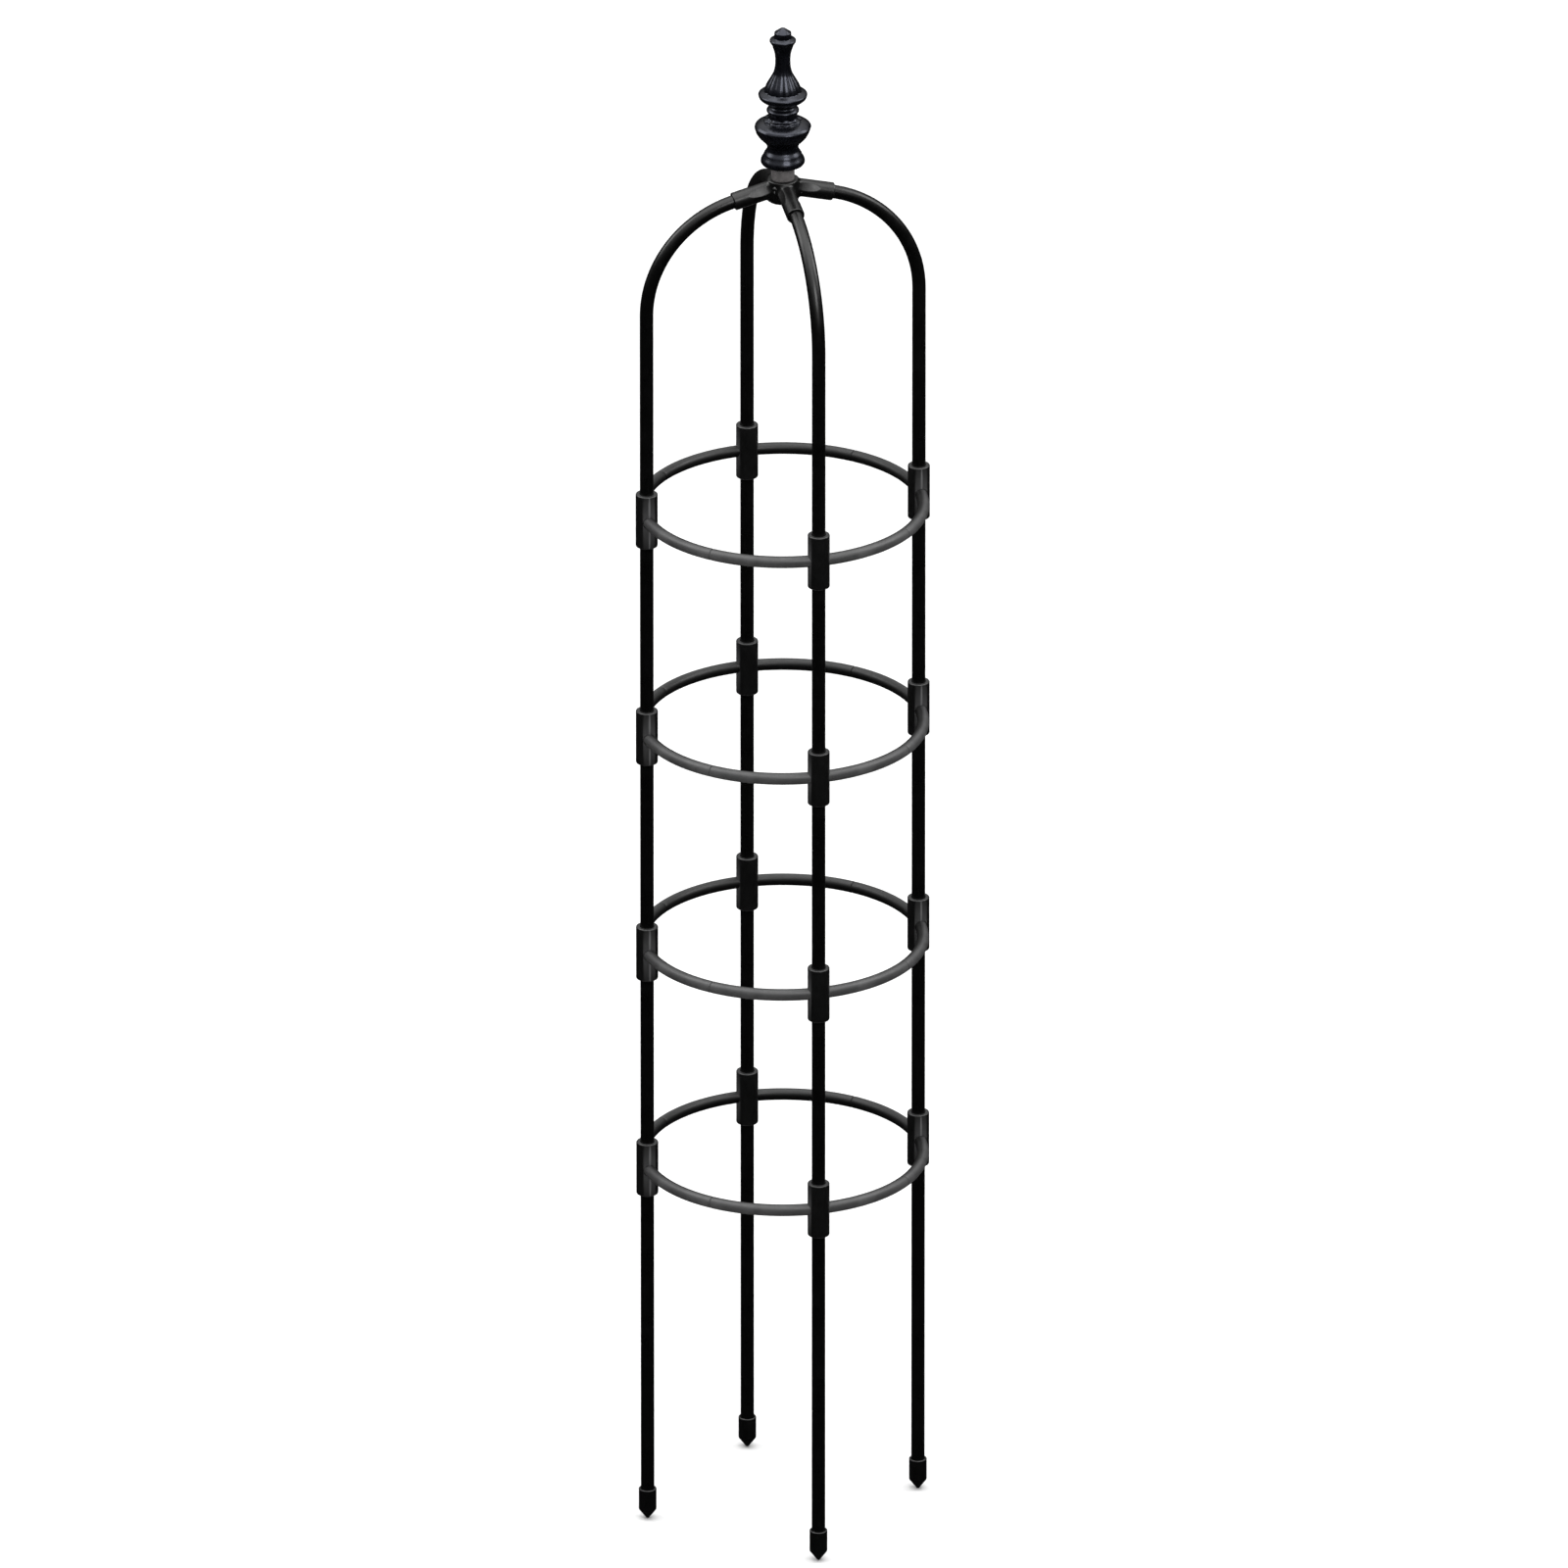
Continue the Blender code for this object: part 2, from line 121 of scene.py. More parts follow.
# The shallow oval dimples on both sides of the hub's arms. A ball of the sweep's radius presses each.
DIMPLE_PLACE = 0.037
DIMPLE_DEPTH = 0.0008
DIMPLE_SWEEP = 0.085
DIMPLE_TILT = math.radians(29)
DIMPLE_SOFT = 0.0003

# The finial's ornament: how many of each, and how far it stands out or goes in
BELL_LOBES = 12
BOWL_LEAVES = 8
NECK_FLUTES = 0.0003
BELL_FLUTES = 0.0009
BELL_HEM = 0.0010
PETALS = 0.0024
RIM_WAVES = 0.0004
LEAVES = 0.0005

# How finely round shapes are made
TUBE_SIDES = 32
TURNED_SIDES = 96
FINIAL_SIDES = 288
ROD_SIDES = 48
LEG_STATIONS = 12
ARC_STATIONS = 44
ARCH_STATIONS = 72
CORNER_STEPS = 4
OUTLINE_STEPS = 6
CUTTER_EXTRA = 0.01  # how far a cutter runs past the wall that it cuts


# Sizes from the frame


def middle(node):
    low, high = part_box(node)
    return (Vector(low) + Vector(high)) / 2


def span(node):
    low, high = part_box(node)
    return Vector(high) - Vector(low)


LEG_RADIUS = span("leg_tube1_front").x / 2
RING_RADIUS = span("ring1_arc_front").z / 2
CIRCLE = -middle("ring1_connector_front").y
RING_HEIGHTS = {ring: middle(f"ring{ring}_connector_front").z for ring in RINGS}
LEG_BORE = LEG_RADIUS + FIT_GAP
RING_BORE = RING_RADIUS + FIT_GAP
POST_RADIUS = span("finial_post").x / 2
POST_BORE = POST_RADIUS + FIT_GAP
SCREW_BORE = SCREW_RADIUS + FIT_GAP
ARM_RADIUS = LEG_BORE + ARM_WALL
BOSS_RADIUS = POST_BORE + BOSS_WALL
ARM_HALF_HEIGHT = ARM_RADIUS / math.cos(ARM_SLOPE)
BOSS_TOP = ARM_HALF_HEIGHT - POST_BORE * math.tan(ARM_SLOPE) + BOSS_LIP
BOSS_BOTTOM = ARM_HALF_HEIGHT + BOSS_RADIUS * math.tan(ARM_SLOPE) + BOSS_SKIRT
HUB_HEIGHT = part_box("finial_post")[0][2] - FIT_GAP + POST_SEAT
FINIAL_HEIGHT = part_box("finial")[0][2]


# Mesh tools


def new_object(name, mesh):
    obj = bpy.data.objects.new(name, mesh)
    bpy.context.scene.collection.objects.link(obj)
    return obj


def grid_mesh(name, loops, closed_ends=False):
    """A mesh from loops of points, each joined to the next, and the last one to the first.

    A loop of one point is a pole.
    """
    work = bmesh.new()
    rows = [[work.verts.new(point) for point in loop] for loop in loops]
    pairs = list(zip(rows, rows[1:]))
    if not closed_ends:
        pairs.append((rows[-1], rows[0]))
    for upper, lower in pairs:
        count = max(len(upper), len(lower))
        for i in range(count):
            j = (i + 1) % count
            corners = [upper[i % len(upper)], upper[j % len(upper)]]
            corners += [lower[j % len(lower)], lower[i % len(lower)]]
            face = work.faces.new(list(dict.fromkeys(corners)))
            face.smooth = True
    bmesh.ops.recalc_face_normals(work, faces=work.faces)
    mesh = bpy.data.meshes.new(name)
    work.to_mesh(mesh)
    work.free()
    return mesh


def rounded(corners, steps=CORNER_STEPS):
    """An outline of (radius, height, fillet) corners as points, with each corner's fillet drawn."""
    points = [Vector(corner[:2]) for corner in corners]
    outline = []
    for i, (radius, height, fillet) in enumerate(corners):
        here = points[i]
        if not fillet:
            outline.append(here)
            continue
        back = (points[i - 1] - here).normalized()
        onward = (points[(i + 1) % len(points)] - here).normalized()
        half = back.angle(onward) / 2
        start = here + back * fillet / math.tan(half)
        end = here + onward * fillet / math.tan(half)
        centre = here + (back + onward).normalized() * fillet / math.sin(half)
        for step in range(steps + 1):
            arm = (start - centre).lerp(end - centre, step / steps)
            outline.append(centre + arm.normalized() * fillet)
    return outline


def turned(name, outline, sides, swell=None):
    """The outline turned round Z. Ends on the axis become poles, and any other outline is closed.

    swell(angle, place) adds to the radius, where place is the point's index in the outline.
    """
    loops = []
    for place, (radius, height) in enumerate(outline):
        if radius < 1e-6:
            loops.append([(0, 0, height)])
            continue
        loop = []
        for i in range(sides):
            angle = 2 * math.pi * i / sides
            reach = radius + (swell(angle, place) if swell else 0)
            loop.append((reach * math.cos(angle), reach * math.sin(angle), height))
        loops.append(loop)
    poles = len(loops[0]) == 1 and len(loops[-1]) == 1
    return grid_mesh(name, loops, closed_ends=poles)


def swept(name, place_at, stations, sides=TUBE_SIDES):
    """A tube with its wall, from a closed run of (distance, radius) stations.

    place_at(distance) gives the centre line's point and two directions square to it.
    """
    loops = []
    for distance, radius in stations:
        centre, across, up = place_at(distance)
        turns = [2 * math.pi * i / sides for i in range(sides)]
        loops.append([centre + radius * (math.cos(t) * across + math.sin(t) * up) for t in turns])
    return grid_mesh(name, loops)


def pipe_stations(length, radius, edge, steps):
    """Stations of a plain pipe: out along its skin and back along its bore, with rounded rims."""
    bore = radius - TUBE_WALL
    dip = edge * 0.3  # how far a quarter round stays from its corner, half way round
    inner = [length * i / steps for i in range(1, steps)]
    skin = [(edge, radius), *[(d, radius) for d in inner], (length - edge, radius)]
    rim = [(length - dip, radius - dip), (length, radius - edge), (length, bore)]
    back = [(d, bore) for d in reversed(inner)]
    foot = [(0, bore), (0, radius - edge), (dip, radius - dip)]
    return [*skin, *rim, *back, *foot]


def evaluated_mesh(obj):
    """The mesh that the object's modifiers make. The object itself is removed."""
    graph = bpy.context.evaluated_depsgraph_get()
    mesh = bpy.data.meshes.new_from_object(obj.evaluated_get(graph))
    bpy.data.objects.remove(obj)
    return mesh


def cut(mesh, tools, operation="DIFFERENCE"):
    """The mesh cut by the tools, or joined with them."""
    base = new_object("cut", mesh)
    cutters = [new_object("tool", tool) for tool in tools]
    for cutter in cutters:
        boolean = base.modifiers.new("Cut", "BOOLEAN")
        boolean.operation = operation
        boolean.object = cutter
    result = evaluated_mesh(base)
    for cutter in cutters:
        bpy.data.objects.remove(cutter)
    result.shade_smooth()
    result.set_sharp_from_angle(angle=math.radians(30))
    return result


def rod(radius, start, end, sides=ROD_SIDES, name="rod"):
    """A solid cylinder between two points."""
    axis = Vector(end) - Vector(start)
    work = bmesh.new()
    turn = axis.to_track_quat("Z", "X").to_matrix().to_4x4()
    bmesh.ops.create_cone(
        work,
        cap_ends=True,
        segments=sides,
        radius1=radius,
        radius2=radius,
        depth=axis.length,
        matrix=Matrix.Translation((Vector(start) + Vector(end)) / 2) @ turn,
    )
    mesh = bpy.data.meshes.new(name)
    work.to_mesh(mesh)
    work.free()
    return mesh


def leg_turn(leg):
    """The turn round Z from the right leg's side to this leg's."""
    return Matrix.Rotation(math.radians(LEGS[leg]), 4, "Z")


# Shader tools


class Shader:
    """A material's node tree with short ways to add what it needs.

    The colour and the roughness are the ones it has where no nodes take their place.
    """

    def __init__(self, name, colour, roughness):
        self.material = bpy.data.materials.new(name)
        self.material.use_nodes = True
        self.tree = self.material.node_tree
        self.surface = self.tree.nodes["Principled BSDF"]
        self.surface.inputs["Base Color"].default_value = (*colour, 1)
        self.surface.inputs["Roughness"].default_value = roughness
        self.coords = self.tree.nodes.new("ShaderNodeTexCoord").outputs["Object"]

    def set(self, **values):
        for name, value in values.items():
            self.surface.inputs[name.replace("_", " ")].default_value = value

    def link(self, output, socket):
        self.tree.links.new(output, socket)

    def stretched(self, scale):
        """The object's coordinates with each axis scaled."""
        mapping = self.tree.nodes.new("ShaderNodeMapping")
        mapping.inputs["Scale"].default_value = scale
        self.link(self.coords, mapping.inputs["Vector"])
        return mapping.outputs["Vector"]

    def reach(self):
        """The distance from the object's Z axis."""
        node = self.tree.nodes.new("ShaderNodeVectorMath")
        node.operation = "LENGTH"
        self.link(self.stretched((1, 1, 0)), node.inputs[0])
        return node.outputs["Value"]

    def noise(self, scale, detail, vector=None):
        node = self.tree.nodes.new("ShaderNodeTexNoise")
        node.inputs["Scale"].default_value = scale
        node.inputs["Detail"].default_value = detail
        self.link(vector or self.coords, node.inputs["Vector"])
        return node.outputs["Fac"]

    def spread(self, value, low, high, from_low=0.3, from_high=0.7):
        """The value carried from one range to another."""
        node = self.tree.nodes.new("ShaderNodeMapRange")
        node.inputs["From Min"].default_value = from_low
        node.inputs["From Max"].default_value = from_high
        node.inputs["To Min"].default_value = low
        node.inputs["To Max"].default_value = high
        self.link(value, node.inputs["Value"])
        return node.outputs["Result"]

    def blend(self, amount, first, second):
        """Two colours mixed by the amount. Either may be another node's output."""
        node = self.tree.nodes.new("ShaderNodeMix")
        node.data_type = "RGBA"
        self.link(amount, node.inputs["Factor"])
        for socket, colour in ((node.inputs[6], first), (node.inputs[7], second)):
            if isinstance(colour, tuple):
                socket.default_value = (*colour, 1)
            else:
                self.link(colour, socket)
        return node.outputs[2]

    def bump(self, height, distance, strength=1.0, below=None):
        node = self.tree.nodes.new("ShaderNodeBump")
        node.inputs["Distance"].default_value = distance
        node.inputs["Strength"].default_value = strength
        self.link(height, node.inputs["Height"])
        if below:
            self.link(below, node.inputs["Normal"])
        return node.outputs["Normal"]

    def edges(self):
        """Rises from 0 to 1 on convex edges."""
        node = self.tree.nodes.new("ShaderNodeNewGeometry")
        return self.spread(node.outputs["Pointiness"], 0, 1, 0.52, 0.62)

    def finish(self, colour=None, roughness=None, normal=None):
        for output, name in ((colour, "Base Color"), (roughness, "Roughness"), (normal, "Normal")):
            if output:
                self.link(output, self.surface.inputs[name])
        return self.material


def coated_tube_material():
    """Satin black coating: a faint orange peel, patches of sheen and a little dust."""
    shader = Shader("coated_tube_fine", (0.009, 0.009, 0.0095), 0.36)
    shader.set(Specular_IOR_Level=0.36)
    dust = shader.spread(shader.noise(38, 5), 0, 1, 0.48, 0.8)
    colour = shader.blend(dust, (0.0006, 0.0006, 0.0006), (0.0016, 0.0016, 0.0017))
    roughness = shader.spread(shader.noise(75, 4), 0.26, 0.36)
    peel = shader.bump(shader.noise(620, 2), 0.00012, 0.35)
    grain = shader.bump(shader.noise(2600, 2), 0.00003, 0.3, below=peel)
    return shader.finish(colour, roughness, grain)


def ring_tube_material():
    """The rings' coating: grey with a painted lit sheen on the outer side, and black with painted
    shade on the inner side.
    """
    shader = Shader("ring_tube_fine", (0.028, 0.028, 0.029), 0.44)
    shader.set(Specular_IOR_Level=0.42)
    # Painted light: each ring's outer side is a greyer painted sheen in random patches, and its inner
    # side is painted black as shade.
    outer = shader.spread(shader.reach(), 0, 1, CIRCLE - 0.002, CIRCLE + 0.003)
    painted_sheen_patches = shader.spread(shader.noise(44, 5), 0, 1, 0.4, 0.72)
    grey = shader.blend(painted_sheen_patches, (0.034, 0.034, 0.0345), (0.054, 0.054, 0.0545))
    colour = shader.blend(outer, (0.0012, 0.0012, 0.0012), grey)
    roughness = shader.spread(shader.noise(90, 4), 0.40, 0.48)
    peel = shader.bump(shader.noise(620, 2), 0.00012, 0.35)
    grain = shader.bump(shader.noise(2600, 2), 0.00003, 0.3, below=peel)
    return shader.finish(colour, roughness, grain)


def moulded_plastic_material():
    """Black moulding: fine spark texture, and a painted highlight that makes its edges paler."""
    shader = Shader("moulded_plastic_fine", (0.010, 0.010, 0.0105), 0.4)
    shader.set(Specular_IOR_Level=0.40)
    patch = shader.spread(shader.noise(52, 4), 0, 1, 0.4, 0.75)
    body = shader.blend(patch, (0.0007, 0.0007, 0.0007), (0.0018, 0.0018, 0.0019))
    # Painted highlight: convex edges, such as the sleeves' rims, are made paler.
    colour = shader.blend(shader.edges(), body, (0.10, 0.10, 0.102))
    roughness = shader.spread(shader.noise(120, 3), 0.29, 0.39)
    texture = shader.bump(shader.noise(2200, 3), 0.00005, 0.45)
    flow = shader.bump(shader.noise(60, 2, shader.stretched((1, 1, 0.2))), 0.0002, 0.15, below=texture)
    return shader.finish(colour, roughness, flow)


def cast_finial_material():
    """Black with a cool sheen: a smooth skin over a slightly uneven casting, with a painted highlight
    on its convex edges.
    """
    shader = Shader("cast_finial_fine", (0.011, 0.012, 0.018), 0.34)
    shader.set(Specular_IOR_Level=0.46, Specular_Tint=(0.80, 0.84, 1.0, 1))
    patch = shader.spread(shader.noise(90, 5), 0, 1, 0.42, 0.78)
    body = shader.blend(patch, (0.0009, 0.0010, 0.0017), (0.0026, 0.0028, 0.0044))
    # Painted highlight: convex edges are a paler bluish grey.
    colour = shader.blend(shader.edges(), body, (0.012, 0.0125, 0.018))
    roughness = shader.spread(shader.noise(170, 4), 0.22, 0.33)
    waves = shader.bump(shader.noise(210, 3), 0.0004, 0.35)
    skin = shader.bump(shader.noise(1800, 3), 0.00005, 0.4, below=waves)
    return shader.finish(colour, roughness, skin)


def grey_metal_material():
    """Dull grey stub: drawn marks along its length, blotches and dark specks."""
    shader = Shader("grey_metal_fine", (0.30, 0.28, 0.28), 0.5)
    shader.set(Specular_IOR_Level=0.3)
    drawn = shader.noise(700, 3, shader.stretched((1, 1, 0.04)))
    blotch = shader.spread(shader.noise(150, 5), 0, 1, 0.35, 0.7)
    body = shader.blend(blotch, (0.082, 0.077, 0.077), (0.124, 0.116, 0.116))
    specks = shader.spread(shader.noise(900, 4), 0, 1, 0.64, 0.74)
    colour = shader.blend(specks, body, (0.018, 0.017, 0.017))
    roughness = shader.spread(drawn, 0.42, 0.58)
    return shader.finish(colour, roughness, shader.bump(drawn, 0.00008, 0.4))


def zinc_screw_material():
    """Bright zinc with fine turning marks and a darker film in patches."""
    shader = Shader("zinc_screw_fine", (0.55, 0.55, 0.53), 0.32)
    shader.set(Metallic=1.0)
    film = shader.spread(shader.noise(420, 4), 0, 1, 0.4, 0.7)
    colour = shader.blend(film, (0.58, 0.58, 0.55), (0.40, 0.40, 0.39))
    marks = shader.noise(1500, 2, shader.stretched((0.3, 0.3, 2.5)))
    roughness = shader.spread(marks, 0.26, 0.42)
    return shader.finish(colour, roughness, shader.bump(marks, 0.00004, 0.4))


# Pieces


def leg_tube_piece(length):
    """A straight leg tube that stands on its lower end."""

    def place_at(distance):
        return Vector((0, 0, distance)), Vector((1, 0, 0)), Vector((0, 1, 0))

    return swept("leg_tube", place_at, pipe_stations(length, LEG_RADIUS, TUBE_EDGE, LEG_STATIONS))


def ring_arc_piece():
    """A quarter ring round the leg at angle 0, with its swaged end."""
    half = math.pi / 4 * CIRCLE

    def place_at(distance):
        angle = (distance - half) / CIRCLE
        out = Vector((math.cos(angle), math.sin(angle), 0))
        return CIRCLE * out, out, Vector((0, 0, 1))

    start = SEAM_GAP / 2
    end = 2 * half - SEAM_GAP / 2
    tip = 2 * half + SPIGOT_LENGTH
    bore = RING_RADIUS - TUBE_WALL
    spigot = bore - FIT_GAP
    inner = spigot - TUBE_WALL
    turns = [math.pi / 2 * i / CORNER_STEPS for i in range(CORNER_STEPS + 1)]
    open_rim = [
        (start + SEAM_ROUND * (1 - math.sin(t)), RING_RADIUS - SEAM_ROUND * (1 - math.cos(t)))
        for t in reversed(turns)
    ]
    shoulder = [
        (end - SEAM_ROUND * (1 - math.sin(t)), RING_RADIUS - SEAM_ROUND * (1 - math.cos(t)))
        for t in turns
    ]
    first, last = start + SEAM_ROUND, end - SEAM_ROUND
    along = [first + (last - first) * i / ARC_STATIONS for i in range(1, ARC_STATIONS)]
    back = [d for d in reversed(along) if d < last - 2 * TUBE_WALL]
    stations = [*open_rim, *[(d, RING_RADIUS) for d in along], *shoulder]
    stations += [(end, spigot), (tip - SPIGOT_BEVEL, spigot)]
    stations += [(tip, spigot - SPIGOT_BEVEL / 2), (tip, inner)]
    stations += [(end, inner), (last - TUBE_WALL, bore), *[(d, bore) for d in back], (start, bore)]
    return swept("ring_arc", place_at, stations)


def connector_piece():
    """A sleeve with rounded rims, leading edges in its bores and a cross hole for the ring."""
    half = span("ring1_connector_front").z / 2
    radius = span("ring1_connector_front").x / 2
    outline = rounded(
        [
            (radius, half, SLEEVE_ROUND),
            (radius, -half, SLEEVE_ROUND),
            (LEG_BORE + LEAD_IN, -half, 0),
            (LEG_BORE, -half + LEAD_IN, 0),
            (LEG_BORE, half - LEAD_IN, 0),
            (LEG_BORE + LEAD_IN, half, 0),
        ]
    )
    sleeve = turned("connector", outline, TURNED_SIDES)
    reach = radius * 1.5
    return cut(sleeve, [rod(RING_BORE, (0, -reach, 0), (0, reach, 0))])


def ground_spike_piece():
    """A pointed cap with a rounded top rim and a blunt tip."""
    size = span("ground_spike_front")
    radius, height = size.x / 2, size.z
    floor = height - SPIKE_SOCKET
    outline = rounded(
        [
            (0, floor, 0),
            (LEG_BORE, floor, 0.0005),
            (LEG_BORE, height - SPIKE_LEAD, 0.0002),
            (LEG_BORE + SPIKE_LEAD, height, 0.0003),
            (radius, height, 0.0011),
            (radius, SPIKE_CONE, 0.0022),
            (SPIKE_TIP_RADIUS, 0, 0.0007),
            (0, 0, 0),
        ]
    )
    return turned("ground_spike", outline, TURNED_SIDES)


def arm_point(radius):
    """The point on the middle line of the arm at angle 0 that is this far from the axis."""
    return Vector((radius, 0, HUB_HEIGHT - radius * math.tan(ARM_SLOPE)))


def arch_tube_piece():
    """A leg's last tube: straight up, bent over and into the hub's arm. It stands at angle 0."""
    low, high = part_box("arch_tube_right")
    bend = math.pi / 2 - ARM_SLOPE
    radius = (CIRCLE - ARM_REACH) / (1 - math.cos(bend))
    spring = arm_point(ARM_REACH).z - radius * math.sin(bend)
    centre = Vector((CIRCLE - radius, 0, spring))
    straight = spring - low[2]
    curve = radius * bend
    tail = ARM_SOCKET - END_GAP
    side = Vector((0, 1, 0))

    def place_at(distance):
        if distance <= straight:
            return Vector((CIRCLE, 0, low[2] + distance)), Vector((1, 0, 0)), side
        turn = min((distance - straight) / radius, bend)
        out = Vector((math.cos(turn), 0, math.sin(turn)))
        rest = max(0, distance - straight - curve)
        onward = Vector((-math.sin(turn), 0, math.cos(turn)))
        return centre + radius * out + rest * onward, out, side

    length = straight + curve + tail
    return swept("arch_tube", place_at, pipe_stations(length, LEG_RADIUS, TUBE_EDGE, ARCH_STATIONS))


def hub_distance(points):
    """How far each point is outside the hub's skin, with the arms blended into the boss."""
    top, bottom = HUB_HEIGHT + BOSS_TOP, HUB_HEIGHT - BOSS_BOTTOM
    around = np.hypot(points[:, 0], points[:, 1])
    half = (top - bottom) / 2
    result = capped_distance(around, points[:, 2] - (top + bottom) / 2, BOSS_RADIUS, half, BOSS_ROUND)
    for leg in LEGS:
        turn = leg_turn(leg)
        start = np.array(turn @ arm_point(0))
        end = np.array(turn @ arm_point(ARM_REACH))
        axis = (end - start) / np.linalg.norm(end - start)
        along = (points - start) @ axis
        across = np.linalg.norm(points - start - along[:, None] * axis, axis=1)
        reach = np.linalg.norm(end - start) / 2
        arm = capped_distance(across, along - reach, ARM_RADIUS, reach, ARM_ROUND)
        for side in (-1, 1):
            arm = carved(arm, dimple_distance(points, turn, side), DIMPLE_SOFT)
        result = joined(arm, result, HUB_BLEND)
    return result


def joined(first, second, blend):
    """The distance to two shapes that run together over the blend."""
    mix = np.clip(0.5 + 0.5 * (first - second) / blend, 0, 1)
    return first * (1 - mix) + second * mix - blend * mix * (1 - mix)


def carved(first, second, blend):
    """The distance to what two shapes share, with its edge softened over the blend."""
    mix = np.clip(0.5 + 0.5 * (second - first) / blend, 0, 1)
    return second * mix + first * (1 - mix) + blend * mix * (1 - mix)


def dimple_distance(points, turn, side):
    """How deep each point is in the ball that presses the dimple into one side of an arm."""
    out = Vector((0, side * math.cos(DIMPLE_TILT), math.sin(DIMPLE_TILT)))
    reach = ARM_RADIUS - DIMPLE_DEPTH + DIMPLE_SWEEP
    centre = np.array(turn @ (arm_point(DIMPLE_PLACE) + out * reach))
    return DIMPLE_SWEEP - np.linalg.norm(points - centre, axis=1)


def capped_distance(across, along, radius, half, edge):
    """Distance to a cylinder with rounded edges, given each point's place across and along it."""
    out = np.stack([across - radius + edge, np.abs(along) - half + edge])
    return np.minimum(out.max(axis=0), 0) + np.linalg.norm(np.maximum(out, 0), axis=0) - edge


def settled(mesh, distance, rounds=6, probe=0.00002):
    """Moves the mesh's points onto the surface where the distance is nought.

    Where the distance hardly changes, the slope counts as no flatter than a floor, so no point is
    thrown far.
    """
    flattest = 0.2
    points = np.empty(len(mesh.vertices) * 3)
    mesh.vertices.foreach_get("co", points)
    points = points.reshape(-1, 3)
    for _ in range(rounds):
        here = distance(points)
        slope = np.stack(
            [(distance(points + probe * axis) - here) / probe for axis in np.eye(3)], axis=1
        )
        points -= (here / np.maximum((slope**2).sum(axis=1), flattest))[:, None] * slope
    mesh.vertices.foreach_set("co", points.ravel())
    mesh.update()


def top_hub_piece():
    """The hub: its arms run into the boss in soft fillets, then every seat is bored."""
    top, bottom = HUB_HEIGHT + BOSS_TOP, HUB_HEIGHT - BOSS_BOTTOM
    body = rod(BOSS_RADIUS, (0, 0, bottom), (0, 0, top), name="top_hub")
    arms = []
    for leg in LEGS:
        turn = leg_turn(leg)
        arms.append(rod(ARM_RADIUS, turn @ arm_point(ARM_ROOT), turn @ arm_point(ARM_REACH)))
    shell = new_object("top_hub", cut(body, arms, "UNION"))
    remesh = shell.modifiers.new("Remesh", "REMESH")
    remesh.mode = "VOXEL"
    remesh.voxel_size = HUB_VOXEL
    mesh = evaluated_mesh(shell)
    settled(mesh, hub_distance)
    tools = [
        rod(POST_BORE, (0, 0, HUB_HEIGHT - POST_SEAT), (0, 0, top + CUTTER_EXTRA), TURNED_SIDES),
        rod(SCREW_BORE, (0, 0, bottom - CUTTER_EXTRA), (0, 0, HUB_HEIGHT)),
    ]
    for leg in LEGS:
        turn = leg_turn(leg)
        inner = ARM_REACH - ARM_SOCKET * math.cos(ARM_SLOPE)
        outer = ARM_REACH + CUTTER_EXTRA
        tools.append(rod(LEG_BORE, turn @ arm_point(inner), turn @ arm_point(outer)))
    return cut(mesh, tools)


def post_piece():
    """The grey stub: a cup with rounded rims and a screw hole in its floor."""
    bottom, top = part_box("finial_post")[0][2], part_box("finial_post")[1][2]
    outline = rounded(
        [
            (POST_RADIUS, top, 0.0009),
            (POST_RADIUS, bottom, 0.0006),
            (SCREW_BORE, bottom, 0),
            (SCREW_BORE, bottom + POST_FLOOR, 0.0004),
            (POST_RADIUS - POST_WALL, bottom + POST_FLOOR, 0.0012),
            (POST_RADIUS - POST_WALL, top, 0.0006),
        ]
    )
    return turned("finial_post", outline, TURNED_SIDES)


def screw_piece():
    """A pan head with a hexagon key hole, and a shank with a bevelled end."""
    low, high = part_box("hub_screw")
    seat = low[2] + SCREW_HEAD_HEIGHT
    head = span("hub_screw").x / 2
    outline = rounded(
        [
            (0, high[2], 0),
            (SCREW_RADIUS - SCREW_BEVEL, high[2], 0.0002),
            (SCREW_RADIUS, high[2] - SCREW_BEVEL, 0.0003),
            (SCREW_RADIUS, seat, 0.0003),
            (head, seat, 0.0003),
            (head, low[2] + SCREW_HEAD_CROWN, 0.0010),
            (SCREW_HEAD_TOP_RADIUS, low[2], 0.0008),
            (0, low[2], 0),
        ]
    )
    body = turned("hub_screw", outline, TURNED_SIDES)
    mouth, floor = low[2] - CUTTER_EXTRA, low[2] + SCREW_KEY_DEPTH
    return cut(body, [rod(SCREW_KEY_RADIUS, (0, 0, mouth), (0, 0, floor), KEY_SIDES)])


# The finial


def smooth_line(points, steps):
    """A smooth curve through the points, with this many steps between neighbours."""
    result = []
    padded = [points[0], *points, points[-1]]
    for before, start, end, after in zip(padded, padded[1:], padded[2:], padded[3:]):
        pull = (Vector(end) - Vector(before)) / 2
        push = (Vector(after) - Vector(start)) / 2
        for i in range(steps):
            t = i / steps
            weights = (2 * t**3 - 3 * t**2 + 1, t**3 - 2 * t**2 + t, 3 * t**2 - 2 * t**3, t**3 - t**2)
            parts = (Vector(start), pull, Vector(end), push)
            result.append(sum((w * p for w, p in zip(weights, parts)), Vector((0, 0))))
    result.append(Vector(points[-1]))
    return result


def lobes(angle, count):
    """1 on the crown of each of count lobes round the finial, 0 in the valleys between them."""
    return 1 - (0.5 - 0.5 * math.cos(count * angle)) ** 2


def ramp(place, start, end):
    """0 before the start, 1 past the end, and a smooth rise between them."""
    share = min(max((place - start) / (end - start), 0), 1)
    return share * share * (3 - 2 * share)


